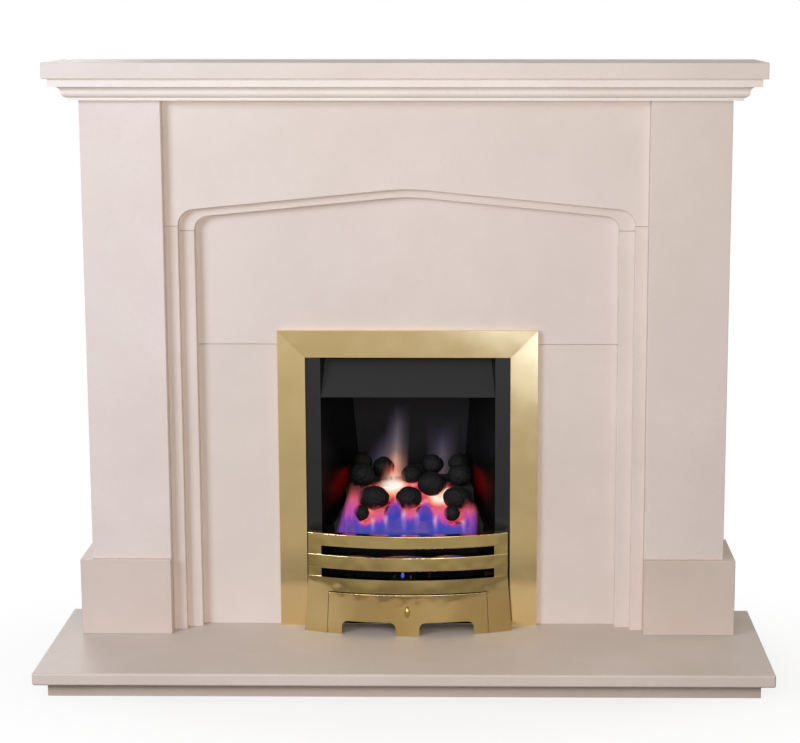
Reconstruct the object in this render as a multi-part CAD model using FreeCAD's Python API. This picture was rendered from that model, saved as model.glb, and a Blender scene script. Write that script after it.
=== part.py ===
import FreeCAD, Part
import math
import os
from FreeCAD import Vector

# Gas fireplace: a limestone surround on a slab hearth, with an inset coal-effect gas fire.
# Millimetres. x runs to the right, y into the wall and z up. The floor is z = 0, the wall
# line (back of the hearth and of the surround) y = 0, and the centre line x = 0.

# Hearth: a slab on set-back risers, bedded on a backing slab
hearth_width = 1372.0
hearth_depth = 381.0
hearth_slab_thickness = 24.0
hearth_edge_radius = 4.0
riser_height = 28.0
riser_inset = 24.0
riser_thickness = 25.0

# Legs: pilasters on plinth blocks, each made of slabs and open to the wall
leg_clear_width = 922.0
plinth_width = 176.0
plinth_depth = 155.0
plinth_height = 150.0
pilaster_width = 153.0
pilaster_depth = 146.0
pilaster_height = 890.0
leg_wall = 28.0
arris = 1.0
joint_gap = 0.5

# Frieze, arch liner and slips: two stepped layers between the legs
frieze_setback = 20.0
frieze_thickness = 17.0
liner_thickness = 21.0
outer_slip_width = 25.0
inner_slip_width = 29.0
arch_crown_depth = 170.0
arch_band_height = 17.0
arch_slope_angle = 5.6
arch_crown_radius = 350.0
outer_shoulder_radius = 32.0
inner_shoulder_radius = 28.0

# Mantel: a bed mould of fillet, ogee and fillet under a plain shelf
bed_fillet_projection = 17.0
bed_fillet_height = 5.5
ogee_radius = 10.5
bed_top_projection = 47.5
bed_top_height = 15.0
shelf_projection = 57.0
shelf_thickness = 30.0

# Back panel: a head over two legs, round the opening for the fire
back_panel_thickness = 25.0
back_panel_lap = 40.0
opening_width = 406.0
opening_height = 565.0

# Wall brackets: two steel angles under the bed mould
bracket_spacing = 640.0
bracket_width = 50.0
bracket_leg = 42.0
bracket_sheet = 3.0
bracket_hole_radius = 3.0

# Firebox: folded sheet steel, with a collar for the flue
sheet = 1.5
firebox_side_gap = 13.0
firebox_top_gap = 10.0
firebox_depth = 256.0
weld_flange = 14.0
flue_radius = 62.5
flue_wall = 1.5
flue_height = 50.0
flue_foot_width = 14.0
flue_rear_margin = 20.0
flue_hole_clearance = 1.0
fixing_spacing_x = 260.0
fixing_spacing_z = 440.0
fixing_lowest = 60.0
fixing_hole_radius = 4.0

# Fascia: a black sheet frame, sealed against the back panel
seal_thickness = 2.0
seal_width = 14.0
fascia_lap = 18.0
mouth_margin = 32.5
mouth_head_gap = 4.0

# Brass trim: three folded strips with mitred corners
trim_side_reveal = 3.0
trim_head_reveal = 25.0
trim_band = 53.0
trim_depth = 10.0
trim_fall = 2.0
trim_sheet = 1.2
mitre_gap = 0.2

# Fire chamber: splayed cheeks, a leaning fireback and a hood
cheek_sheet = 3.0
cheek_splay = 65.0
cheek_skirt = 12.0
chamber_depth = 240.0
panel_fit = 0.3
fireback_sheet = 4.0
fireback_lean = 57.0
hood_drop = 80.0
hood_lean = 32.0
hood_lip = 12.0

# Fuel bed: a sloped deck with burner ports, and a stepped ceramic matrix
deck_front_height = 178.0
deck_rise = 65.0
deck_sheet = 2.0
deck_front_gap = 2.0
deck_depth = 230.0
port_count = 15
port_length = 10.0
port_width = 4.0
port_setback = 13.0
bed_side_gap = 18.0
bed_front = 16.0
front_tier_depth = 28.0
middle_tier_depth = 42.0
rear_tier_depth = 99.0
front_tier_height = 19.0
middle_tier_height = 25.0
rear_tier_height = 51.0

# Coals: rounded ceramic lumps, each seated in a dimple of the matrix
small_coal_size = 32.0
coal_size = 47.0
dimple_gap = 0.3
# each coal: across the bed, along its tier, size, length over size, part sunk in its seat
front_coal_shares = [(-0.66, 0.43, 1.0, 1.02, 0.1), (-0.23, 0.43, 1.03, 1.05, 0.1),
                     (0.20, 0.43, 1.03, 1.05, 0.15), (0.59, 0.43, 1.0, 1.03, 0.12)]
middle_coal_shares = [(-0.53, 0.50, 1.02, 1.38, 0.20), (-0.01, 0.50, 1.02, 1.14, 0.20),
                      (0.70, 0.50, 1.0, 1.26, 0.18)]
rear_coal_shares = [(-0.78, 0.16, 1.0, 1.13, 0.05), (0.02, 0.40, 0.88, 1.08, 0.55),
                    (0.35, 0.10, 1.06, 1.21, 0.78), (0.81, 0.16, 0.98, 1.12, 0.08)]
back_coal_shares = [(-0.48, 0.51, 0.92, 1.07, 0.1), (0.40, 0.62, 0.92, 1.06, 0.1),
                    (0.88, 0.70, 0.90, 1.07, 0.15), (-0.90, 0.74, 0.90, 1.07, 0.2)]
# tilt of each coal's long axis in degrees
front_coal_tilts = [10, -12, 8, -6]
middle_coal_tilts = [16, -4, -10]
rear_coal_tilts = [-8, 0, 6, 12]
back_coal_tilts = [0, -8, 10, 6]

# Burner: a pan under the deck, on four legs, fed through a mixing tube
pan_setback = 10.0
pan_depth = 100.0
pan_side_gap = 3.0
pan_height = 34.0
pan_leg_size = 12.0
pan_leg_inset = 14.0
mixer_x = 40.0
mixer_radius = 12.0
mixer_wall = 2.0
mixer_drop = 28.0
mixer_length = 66.0
mixer_mouth_setback = 26.0
mixer_cap_sheet = 1.5
injector_size = 18.0
injector_neck_radius = 5.0
injector_neck_length = 14.0
injector_fit = 1.0

# Pilot: bracket on the front of the pan, with burner head, thermocouple and electrode
pilot_x = -12.0
pilot_bracket_width = 52.0
pilot_bracket_drop = 75.0
pilot_bracket_height = 90.0
pilot_shelf_depth = 20.0
pilot_radius = 5.0
pilot_height = 24.0
pilot_hood_radius = 7.0
pilot_hood_height = 6.0
probe_spacing = 16.0
thermocouple_radius = 2.5
thermocouple_height = 31.0
electrode_radius = 1.5
electrode_height = 29.0
insulator_radius = 3.5
insulator_height = 17.0

# Gas valve: body on a bracket, spindle and push-and-turn knob
valve_x = 50.0
valve_width = 70.0
valve_depth = 45.0
valve_height = 45.0
valve_setback = 12.0
valve_edge_radius = 4.0
valve_bracket_height = 29.0
valve_bracket_sheet = 2.0
neck_radius = 9.0
neck_length = 8.0
spindle_radius = 4.0
spindle_length = 54.0
spindle_seat = 20.0
running_fit = 0.05
end_play = 0.3
knob_radius = 21.0
knob_taper = 2.0
knob_depth = 12.0
knob_grip_depth = 10.0
knob_grip_width = 13.0
knob_bore_depth = 14.0
knob_travel = 4.0
knob_stop_gap = 2.0

# Gas pipes and the inlet elbow
gas_pipe_radius = 4.0
pilot_pipe_radius = 2.0
gas_pipe_bend = 24.0
pilot_pipe_bend = 12.0
elbow_size = 26.0
elbow_wall_gap = 2.5
elbow_y = 60.0
elbow_bore_depth = 12.0
elbow_nut_length = 9.0
elbow_nut_radius = 9.0
inlet_hole_radius = 10.0
supply_line_setback = 30.0
pilot_port_height = 12.0
burner_port_setback = 17.0

# Fret: a bowed brass grate front with two slots, standing loose on the hearth
fret_side_gap = 5.0
fret_standoff = 30.0
standing_gap = 0.3
fret_bow = 39.0
fret_flare = 9.0
fret_plate = 5.0
fret_edge_radius = 1.5
top_bar_height = 25.0
middle_bar_height = 27.5
slot_height = 17.5
slot_end_margin = 26.0
slot_recess = 9.0
web_end_setback = 1.0
web_plate = 3.0
bar_lip_depth = 16.0
bar_lip_thickness = 3.0
apron_height = 112.5
return_plate = 4.0
return_gap = 3.0

# Ashpan cover: flush in the fret's apron, with two arched cut-outs and an upright oval knob
cover_width = 308.0
cover_flare = 4.0
cover_height = 83.0
cover_gap = 0.8
cover_head_gap = 2.0
cover_edge_radius = 1.2
cover_foot_width = 29.0
cover_centre_foot_width = 46.0
cover_arch_height = 27.0
cover_arch_radius = 13.0
cover_knob_height = 50.0
cover_knob_radius = 5.0
cover_knob_half_height = 10.0
cover_knob_neck_radius = 3.0
cover_knob_neck_length = 5.0
cover_knob_collar_radius = 6.5
cover_knob_collar_depth = 1.5

# How far cutting shapes run past what they cut
overrun = 10.0

# Levels and planes that several pieces share
hearth_top = riser_height + hearth_slab_thickness
leg_half = leg_clear_width / 2
pilaster_half = leg_half + pilaster_width
plinth_top = hearth_top + plinth_height
bed_bottom = plinth_top + pilaster_height
bed_height = bed_fillet_height + 2 * ogee_radius + bed_top_height
shelf_bottom = bed_bottom + bed_height
shelf_top = shelf_bottom + shelf_thickness
frieze_front = -pilaster_depth + frieze_setback
liner_front = frieze_front + frieze_thickness
panel_front = liner_front + liner_thickness
panel_back = panel_front + back_panel_thickness
outer_arch_half = leg_half - outer_slip_width
inner_arch_half = outer_arch_half - inner_slip_width
outer_arch_crown = bed_bottom - arch_crown_depth
inner_arch_crown = outer_arch_crown - arch_band_height
opening_half = opening_width / 2
opening_top = hearth_top + opening_height
fascia_back = panel_front - seal_thickness
fascia_front = fascia_back - sheet
firebox_half = opening_half - firebox_side_gap
firebox_inner_half = firebox_half - sheet
firebox_top = opening_top - firebox_top_gap
firebox_rear = fascia_back + firebox_depth
base_top = hearth_top + sheet
mouth_half = opening_half - mouth_margin
mouth_top = firebox_top - sheet - mouth_head_gap
chamber_rear = fascia_back + chamber_depth
trim_inner_half = opening_half - trim_side_reveal
trim_inner_top = opening_top - trim_head_reveal
trim_front = panel_front - trim_depth
deck_front = fascia_back + deck_front_gap
deck_rear = deck_front + deck_depth
pan_front = deck_front + pan_setback
pan_rear = pan_front + pan_depth
pan_bottom = hearth_top + deck_front_height - pan_height
valve_front = fascia_back + valve_setback
valve_bottom = base_top + valve_bracket_height
spindle_height = valve_bottom + valve_height / 2
fret_half = trim_inner_half - fret_side_gap
fret_end_front = trim_front - fret_standoff
fret_foot = hearth_top + standing_gap


def block(x, y, z):
    """A box from three (low, high) pairs."""
    lengths = [high - low for low, high in (x, y, z)]
    return Part.makeBox(*lengths, Vector(x[0], y[0], z[0]))


def sheet_of(points):
    """A flat face from its corner points."""
    return Part.Face(Part.makePolygon(points + points[:1]))


def along_x(outline, x):
    """A solid from a (y, z) outline, drawn from x[0] to x[1]."""
    return sheet_of([Vector(x[0], y, z) for y, z in outline]).extrude(Vector(x[1] - x[0], 0, 0))


def along_y(outline, y):
    """A solid from an (x, z) outline, drawn from y[0] to y[1]."""
    return sheet_of([Vector(x, y[0], z) for x, z in outline]).extrude(Vector(0, y[1] - y[0], 0))


def along_z(outline, z):
    """A solid from an (x, y) outline, drawn from z[0] to z[1]."""
    return sheet_of([Vector(x, y, z[0]) for x, y in outline]).extrude(Vector(0, 0, z[1] - z[0]))


def rod(radius, start, end):
    """A round bar between two points."""
    run = end - start
    return Part.makeCylinder(radius, run.Length, start, run)


def mirrored(shape):
    """The same piece on the other side of the centre line."""
    return shape.mirror(Vector(), Vector(1, 0, 0))


def eased_front(solid):
    """Takes the arris off the edges of a slab's front face."""
    front = min(solid.Faces, key=lambda face: (face.BoundBox.YMax, -face.Area))
    return solid.makeChamfer(arris, front.Edges)


def both_sides(name, right):
    """Registers a right-hand piece and its mirrored left-hand twin."""
    nodes[name + "_right"] = right
    nodes[name + "_left"] = mirrored(right)


nodes = {}


# Hearth
def hearth_slab():
    half = hearth_width / 2
    slab = block((-half, half), (-hearth_depth, 0), (riser_height, hearth_top))
    at_wall = [edge for edge in slab.Edges if edge.BoundBox.YMin > -hearth_depth / 2]
    rounded = [edge for edge in slab.Edges if not any(edge.isSame(other) for other in at_wall)]
    return slab.makeFillet(hearth_edge_radius, rounded)


riser_half = hearth_width / 2 - riser_inset
riser_front = -hearth_depth + riser_inset
bed_half_width = riser_half - riser_thickness
nodes["hearth_slab"] = hearth_slab()
nodes["hearth_riser_front"] = block(
    (-riser_half, riser_half), (riser_front, riser_front + riser_thickness), (0, riser_height))
riser_return = block((bed_half_width, riser_half), (riser_front + riser_thickness, 0), (0, riser_height))
nodes["hearth_riser_returns"] = Part.makeCompound([riser_return, mirrored(riser_return)])
nodes["hearth_backing"] = block(
    (-bed_half_width, bed_half_width), (riser_front + riser_thickness, 0), (0, riser_height))


# Legs
def plinth_block():
    outer = block((leg_half, leg_half + plinth_width), (-plinth_depth, 0), (hearth_top, plinth_top))
    hollow = block(
        (leg_half + leg_wall, leg_half + plinth_width - leg_wall),
        (-plinth_depth + leg_wall, overrun), (hearth_top - overrun, plinth_top - leg_wall))
    return eased_front(outer.cut(hollow))


def pilaster():
    outer = block((leg_half, pilaster_half), (-pilaster_depth, 0), (plinth_top, bed_bottom))
    hollow = block(
        (leg_half + leg_wall, pilaster_half - leg_wall),
        (-pilaster_depth + leg_wall, overrun), (plinth_top - overrun, bed_bottom + overrun))
    return eased_front(outer.cut(hollow))


both_sides("plinth_block", plinth_block())
both_sides("pilaster", pilaster())


# Frieze, arch liner and slips
def arch_springing(half, crown, shoulder_radius):
    """The height at which the shoulder of an arch turns into its leg."""
    slope = math.radians(arch_slope_angle)
    peak = crown + arch_crown_radius * (1 / math.cos(slope) - 1)
    return peak - (half - shoulder_radius) * math.tan(slope) - shoulder_radius / math.cos(slope)


def arch_edges(half, crown, shoulder_radius, y):
    """A shallow pointed arch with soft shoulders and crown, from left springing to right."""
    slope = math.radians(arch_slope_angle)
    springing = arch_springing(half, crown, shoulder_radius)

    def on_circle(x, z, radius, angle):
        return Vector(x + radius * math.cos(angle), y, z + radius * math.sin(angle))

    shoulder_x = half - shoulder_radius
    start, rise, middle = math.pi, math.pi / 2 + slope, (3 * math.pi / 2 + slope) / 2
    left = [on_circle(-shoulder_x, springing, shoulder_radius, a) for a in (start, middle, rise)]
    crown_z = crown - arch_crown_radius
    top = [on_circle(0, crown_z, arch_crown_radius, a) for a in (rise, math.pi / 2, math.pi - rise)]
    right = [Vector(-point.x, y, point.z) for point in reversed(left)]
    return [
        Part.Arc(*left).toShape(), Part.makeLine(left[2], top[0]), Part.Arc(*top).toShape(),
        Part.makeLine(top[2], right[0]), Part.Arc(*right).toShape()]


def arched_slab(half, crown, shoulder_radius, front, thickness):
    """A slab between the legs, from the bed mould down to the springing of its arch."""
    arch = arch_edges(half, crown, shoulder_radius, front)
    springing = arch_springing(half, crown, shoulder_radius)
    corners = [
        Vector(half, front, springing), Vector(leg_half, front, springing),
        Vector(leg_half, front, bed_bottom), Vector(-leg_half, front, bed_bottom),
        Vector(-leg_half, front, springing), Vector(-half, front, springing)]
    sides = [Part.makeLine(a, b) for a, b in zip(corners, corners[1:])]
    face = Part.Face(Part.Wire(arch + sides))
    return eased_front(face.extrude(Vector(0, thickness, 0)))


def slip(inner_half, front, thickness, springing):
    return eased_front(block(
        (inner_half, leg_half), (front, front + thickness), (hearth_top, springing - joint_gap)))


outer_arch = (outer_arch_half, outer_arch_crown, outer_shoulder_radius)
inner_arch = (inner_arch_half, inner_arch_crown, inner_shoulder_radius)
nodes["frieze_panel"] = arched_slab(*outer_arch, frieze_front, frieze_thickness)
nodes["arch_liner"] = arched_slab(*inner_arch, liner_front, liner_thickness)
both_sides("outer_slip", slip(
    outer_arch_half, frieze_front, frieze_thickness, arch_springing(*outer_arch)))
both_sides("inner_slip", slip(
    inner_arch_half, liner_front, liner_thickness, arch_springing(*inner_arch)))


# Mantel
def bed_profile(side):
    """The moulding's section as a wire, from the wall out: fillet, ogee and top fillet."""
    heights = [0, bed_fillet_height, bed_fillet_height + ogee_radius,
               bed_fillet_height + 2 * ogee_radius, bed_height]
    low, quirk, ogee_mid, ogee_top, top = [bed_bottom + height for height in heights]
    fillet, belly = bed_fillet_projection, bed_fillet_projection + ogee_radius
    lip = bed_fillet_projection + 2 * ogee_radius
    bow = ogee_radius * math.sqrt(0.5)
    convex = [side(fillet, quirk), side(fillet + bow, ogee_mid - bow), side(belly, ogee_mid)]
    concave = [side(belly, ogee_mid), side(lip - bow, ogee_mid + bow), side(lip, ogee_top)]
    edges = [
        Part.makeLine(side(fillet, low), convex[0]), Part.Arc(*convex).toShape(),
        Part.Arc(*concave).toShape(), Part.makeLine(concave[2], side(bed_top_projection, ogee_top)),
        Part.makeLine(side(bed_top_projection, ogee_top), side(bed_top_projection, top))]
    return edges, side(fillet, low), side(bed_top_projection, top)


def bed_mould():
    """One moulded slab whose section turns the corners in mitres: front run met by both returns."""
    reach = pilaster_half + shelf_projection
    edges, low, top = bed_profile(lambda out, z: Vector(-reach, -pilaster_depth - out, z))
    back = [top, Vector(-reach, 0, top.z), Vector(-reach, 0, low.z), low]
    edges += [Part.makeLine(a, b) for a, b in zip(back, back[1:])]
    front_run = Part.Face(Part.Wire(edges)).extrude(Vector(2 * reach, 0, 0))
    far = -pilaster_depth - shelf_projection
    right, low, top = bed_profile(lambda out, z: Vector(pilaster_half + out, far, z))
    left = [mirrored(edge) for edge in right]
    across = [Part.makeLine(low, Vector(-low.x, far, low.z)),
              Part.makeLine(top, Vector(-top.x, far, top.z))]
    ends = Part.Face(Part.Wire(Part.__sortEdges__(right + left + across)))
    return front_run.common(ends.extrude(Vector(0, -far, 0))).Solids[0]


shelf_half = pilaster_half + shelf_projection
nodes["bed_mould"] = bed_mould()
nodes["mantel_shelf"] = eased_front(block(
    (-shelf_half, shelf_half), (-pilaster_depth - shelf_projection, 0), (shelf_bottom, shelf_top)))


# Back panel
nodes["back_panel_head"] = eased_front(block(
    (-leg_half, leg_half), (panel_front, panel_back), (opening_top, inner_arch_crown + back_panel_lap)))
both_sides("back_panel_leg", eased_front(block(
    (opening_half, leg_half), (panel_front, panel_back), (hearth_top, opening_top - joint_gap))))


# Wall brackets
def wall_bracket(x):
    span = (x - bracket_width / 2, x + bracket_width / 2)
    upright = block(span, (-bracket_sheet, 0), (bed_bottom - bracket_leg, bed_bottom))
    flat = block(span, (-bracket_leg, 0), (bed_bottom - bracket_sheet, bed_bottom))
    hole_z = bed_bottom - (bracket_leg + bracket_sheet) / 2
    hole = rod(bracket_hole_radius, Vector(x, -bracket_sheet - overrun, hole_z), Vector(x, overrun, hole_z))
    return upright.fuse(flat).cut(hole).removeSplitter()


nodes["wall_brackets"] = Part.makeCompound(
    [wall_bracket(x) for x in (-bracket_spacing / 2, bracket_spacing / 2)])


# Firebox
def firebox_side():
    """The right wall, with a flange folded in against the rear panel and a hole for the gas pipe."""
    wall = block((firebox_inner_half, firebox_half), (fascia_back, firebox_rear - sheet),
                 (hearth_top, firebox_top))
    return wall.fuse(block(
        (firebox_half - weld_flange, firebox_half),
        (firebox_rear - 2 * sheet, firebox_rear - sheet),
        (base_top, firebox_top - sheet))).removeSplitter()


def inlet_hole():
    return rod(inlet_hole_radius, Vector(firebox_inner_half - overrun, elbow_y, spindle_height),
               Vector(firebox_half + overrun, elbow_y, spindle_height))


def firebox_rear_panel():
    panel = block((-firebox_half, firebox_half), (firebox_rear - sheet, firebox_rear),
                  (hearth_top, firebox_top))
    low = hearth_top + fixing_lowest
    for x in (-fixing_spacing_x / 2, fixing_spacing_x / 2):
        for z in (low, low + fixing_spacing_z):
            panel = panel.cut(rod(fixing_hole_radius, Vector(x, firebox_rear - sheet - overrun, z),
                                  Vector(x, firebox_rear + overrun, z)))
    return panel


flue_centre = Vector(0, firebox_rear - flue_rear_margin - flue_radius - flue_wall, firebox_top)
up = Vector(0, 0, 1)


def firebox_top_panel():
    panel = block((-firebox_inner_half, firebox_inner_half), (fascia_back, firebox_rear - sheet),
                  (firebox_top - sheet, firebox_top))
    return panel.cut(Part.makeCylinder(
        flue_radius + flue_hole_clearance, 2 * overrun, flue_centre - up * overrun))


def flue_collar():
    tube = Part.makeCylinder(flue_radius + flue_wall, flue_height, flue_centre)
    foot = Part.makeCylinder(flue_radius + flue_foot_width, flue_wall, flue_centre)
    bore = Part.makeCylinder(flue_radius, flue_height + 2 * overrun, flue_centre - up * overrun)
    return tube.fuse(foot).cut(bore).removeSplitter()


firebox_right = firebox_side()
nodes["firebox_left_panel"] = mirrored(firebox_right)
nodes["firebox_right_panel"] = firebox_right.cut(inlet_hole())
nodes["firebox_rear_panel"] = firebox_rear_panel()
nodes["firebox_base"] = block(
    (-firebox_inner_half, firebox_inner_half), (fascia_back, firebox_rear - sheet), (hearth_top, base_top))
nodes["firebox_top"] = firebox_top_panel()
nodes["flue_collar"] = flue_collar()


# Fascia and seal
def portal(outer_half, outer_top, inner_half, inner_top, y):
    """A flat frame of two stiles and a head, open at the hearth."""
    outline = [
        (-outer_half, hearth_top), (-outer_half, outer_top), (outer_half, outer_top),
        (outer_half, hearth_top), (inner_half, hearth_top), (inner_half, inner_top),
        (-inner_half, inner_top), (-inner_half, hearth_top)]
    return along_y(outline, y)


fascia_half = opening_half + fascia_lap
fascia_top = opening_top + fascia_lap
nodes["fascia"] = portal(fascia_half, fascia_top, mouth_half, mouth_top, (fascia_front, fascia_back))
nodes["fascia_seal"] = portal(
    fascia_half, fascia_top, fascia_half - seal_width, fascia_top - seal_width, (fascia_back, panel_front))


# Brass trim
trim_half = trim_inner_half + trim_band
trim_top = trim_inner_top + trim_band


def trim_section():
    """The folded strip as (across the band from its inner edge, y) points."""
    face_inner = trim_front + trim_fall
    outside = [(trim_band, panel_front), (trim_band, trim_front), (0, face_inner), (0, fascia_front)]
    inside = [(trim_sheet, fascia_front), (trim_sheet, face_inner + trim_sheet),
              (trim_band - trim_sheet, trim_front + trim_sheet), (trim_band - trim_sheet, panel_front)]
    return outside + inside


def mitre_wedge(gap):
    """What lies above the mitre lines at both top corners."""
    low = trim_inner_top - overrun - gap
    high = trim_top + overrun - gap
    narrow, wide = trim_inner_half - overrun, trim_half + overrun
    span = (trim_front - overrun, panel_front + overrun)
    return along_y([(-wide, high), (-narrow, low), (narrow, low), (wide, high)], span)


def trim_side():
    outline = [(trim_inner_half + across, y) for across, y in trim_section()]
    return along_z(outline, (hearth_top, trim_top)).cut(mitre_wedge(mitre_gap))


def trim_head():
    outline = [(y, trim_inner_top + across) for across, y in trim_section()]
    return along_x(outline, (-trim_half, trim_half)).common(mitre_wedge(0))


both_sides("trim", trim_side())
nodes["trim_top"] = trim_head()


# Fire chamber
def chamber_half(y, gap=0):
    """Half the width between the cheeks at a depth."""
    return mouth_half - gap - cheek_splay * (y - fascia_back) / chamber_depth


def between_cheeks(gap):
    front, rear = fascia_back, chamber_rear
    outline = [(-chamber_half(front, gap), front), (chamber_half(front, gap), front),
               (chamber_half(rear, gap), rear), (-chamber_half(rear, gap), rear)]
    return along_z(outline, (hearth_top, firebox_top))


def deck_top(y):
    """The height of the sloped deck's upper face at a depth."""
    return hearth_top + deck_front_height + deck_rise * (y - deck_front) / deck_depth


def across_chamber(outline, gap=panel_fit):
    """A (y, z) outline drawn from cheek to cheek."""
    return along_x(outline, (-mouth_half, mouth_half)).common(between_cheeks(gap))


def cheek():
    front, rear = fascia_back, chamber_rear
    outline = [(chamber_half(front), front), (chamber_half(rear), rear),
               (chamber_half(rear) + cheek_sheet, rear), (chamber_half(front) + cheek_sheet, front)]
    return along_z(outline, (deck_top(deck_front) - cheek_skirt, firebox_top - sheet))


def fireback():
    foot, head = deck_top(deck_rear), trim_inner_top - hood_drop
    rear = deck_rear - fireback_lean
    return across_chamber([(deck_rear, foot), (deck_rear + fireback_sheet, foot),
                           (rear + fireback_sheet, head), (rear, head)])


def hood():
    """A sloped canopy plate with a lip folded back along its lower edge."""
    front = fascia_back + panel_fit
    low, high = trim_inner_top - hood_drop, firebox_top - sheet
    return across_chamber([
        (front, low), (front + hood_lip, low), (front + hood_lip, low + sheet),
        (front + 2 * sheet, low + sheet), (front + hood_lean + sheet, high), (front + hood_lean, high)])


both_sides("cheek", cheek())
nodes["fireback"] = fireback()
nodes["hood"] = hood()


# Fuel bed
def fuel_deck():
    front, rear = deck_top(deck_front), deck_top(deck_rear)
    deck = across_chamber([(deck_front, front), (deck_rear, rear),
                           (deck_rear, rear - deck_sheet), (deck_front, front - deck_sheet)])
    y = deck_front + port_setback
    reach = chamber_half(y, bed_side_gap) - port_length
    pitch = 2 * reach / (port_count - 1)
    low, high = front - deck_sheet - overrun, rear + overrun
    for index in range(port_count):
        x = -reach + index * pitch
        deck = deck.cut(block((x - port_length / 2, x + port_length / 2),
                              (y - port_width / 2, y + port_width / 2), (low, high)))
    return deck


tier_front = deck_front + bed_front
tiers = [(front_tier_depth, front_tier_height), (middle_tier_depth, middle_tier_height),
         (rear_tier_depth, rear_tier_height)]


def tier_start(index):
    return tier_front + sum(depth for depth, height in tiers[:index])


def pebble(centre, half_length, half_height, tilt):
    """A rounded lump: half an ellipse turned about its long axis, then tilted."""
    ellipse = Part.Ellipse(Vector(), half_length, half_height)
    crown = Part.ArcOfEllipse(ellipse, 0, math.pi).toShape()
    axis = Part.makeLine(crown.Vertexes[1].Point, crown.Vertexes[0].Point)
    lump = Part.Face(Part.Wire([crown, axis])).revolve(Vector(), Vector(1, 0, 0), 360)
    lump.rotate(Vector(), Vector(0, 1, 0), tilt)
    lump.translate(centre)
    return lump


def coal_places(tier, size, shares, tilts):
    """Centre, half length, half height and tilt of each coal of a row."""
    depth, rise = tiers[tier]
    for (across, along, size_share, long_share, sunk_share), tilt in zip(shares, tilts):
        y = tier_start(tier) + along * depth
        half_height = size_share * size / 2
        z = deck_top(y) + rise + (1 - sunk_share) * half_height
        centre = Vector(across * chamber_half(y, bed_side_gap), y, z)
        yield centre, half_height * long_share, half_height, tilt


coal_rows = {
    "front_coals": (0, small_coal_size, front_coal_shares, front_coal_tilts),
    "middle_coals": (1, coal_size, middle_coal_shares, middle_coal_tilts),
    "rear_coals": (2, coal_size, rear_coal_shares, rear_coal_tilts),
    "back_coals": (2, coal_size, back_coal_shares, back_coal_tilts)}


def fuel_matrix():
    """A stepped ceramic block on the deck, dimpled under every coal."""
    starts = [tier_start(index) for index in range(len(tiers) + 1)]
    top = []
    for index, (depth, height) in enumerate(tiers):
        for y in starts[index:index + 2]:
            top.append((y, deck_top(y) + height))
    outline = top + [(starts[-1], deck_top(starts[-1])), (starts[0], deck_top(starts[0]))]
    matrix = across_chamber(outline, bed_side_gap)
    for row in coal_rows.values():
        for centre, half_length, half_height, tilt in coal_places(*row):
            matrix = matrix.cut(pebble(centre, half_length + dimple_gap, half_height + dimple_gap, tilt))
    return matrix.Solids[0]


nodes["fuel_deck"] = fuel_deck()
nodes["fuel_matrix"] = fuel_matrix()
for name, row in coal_rows.items():
    nodes[name] = Part.makeCompound([pebble(*place) for place in coal_places(*row)])


# Burner
pan_half = chamber_half(pan_rear) - pan_side_gap


def burner_pan():
    """An open tray whose rim follows the slope of the deck above it."""
    def under_deck(y):
        return deck_top(y) - deck_sheet

    outer = along_x([(pan_front, pan_bottom), (pan_rear, pan_bottom),
                     (pan_rear, under_deck(pan_rear)), (pan_front, under_deck(pan_front))],
                    (-pan_half, pan_half))
    inner = block((-pan_half + sheet, pan_half - sheet), (pan_front + sheet, pan_rear - sheet),
                  (pan_bottom + sheet, under_deck(pan_rear) + overrun))
    mixer_hole = Part.makeCylinder(
        mixer_radius - mixer_wall, 2 * overrun, Vector(mixer_x, mixer_riser_y, pan_bottom - overrun))
    return outer.cut(inner).cut(mixer_hole)


def pan_legs():
    x = pan_half - pan_leg_inset
    legs = []
    for y in (pan_front + pan_leg_inset, pan_rear - pan_leg_inset):
        leg = block((x - pan_leg_size, x), (y - pan_leg_size / 2, y + pan_leg_size / 2),
                    (base_top, pan_bottom))
        hollow = block((x - pan_leg_size - overrun, x - sheet), (y - pan_leg_size / 2 + sheet, y + overrun),
                       (base_top - overrun, pan_bottom + overrun))
        legs += [leg.cut(hollow), mirrored(leg.cut(hollow))]
    return Part.makeCompound(legs)


mixer_z = pan_bottom - mixer_drop
mixer_mouth = pan_front + mixer_mouth_setback
mixer_riser_y = mixer_mouth + mixer_length - mixer_radius


def mixing_tube():
    """A tube under the pan that turns up into its floor, capped where the injector enters."""
    end = Vector(mixer_x, mixer_mouth + mixer_length, mixer_z)
    mouth = Vector(mixer_x, mixer_mouth, mixer_z)
    foot, head = Vector(mixer_x, mixer_riser_y, mixer_z), Vector(mixer_x, mixer_riser_y, pan_bottom)
    into = Vector(0, 1, 0)
    inner = mixer_radius - mixer_wall
    shell = rod(mixer_radius, mouth, end).fuse(rod(mixer_radius, foot, head))
    shell = shell.cut(rod(inner, mouth + into * mixer_cap_sheet, end - into * mixer_wall))
    shell = shell.cut(rod(inner, foot, head + up * overrun))
    hole = rod(injector_neck_radius + injector_fit, mouth - into * overrun, mouth + into * overrun)
    return shell.cut(hole)


def injector():
    half = injector_size / 2
    body = block((mixer_x - half, mixer_x + half), (mixer_mouth - injector_size, mixer_mouth),
                 (mixer_z - half, mixer_z + half))
    neck = rod(injector_neck_radius, Vector(mixer_x, mixer_mouth - half, mixer_z),
               Vector(mixer_x, mixer_mouth + injector_neck_length, mixer_z))
    return body.fuse(neck).removeSplitter()


nodes["burner_pan"] = burner_pan()
nodes["pan_legs"] = pan_legs()
nodes["mixing_tube"] = mixing_tube()
nodes["injector"] = injector()

# Pilot
pilot_shelf_top = pan_bottom - pilot_bracket_drop + sheet
pilot_y = pan_front - sheet - pilot_shelf_depth / 2


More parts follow.
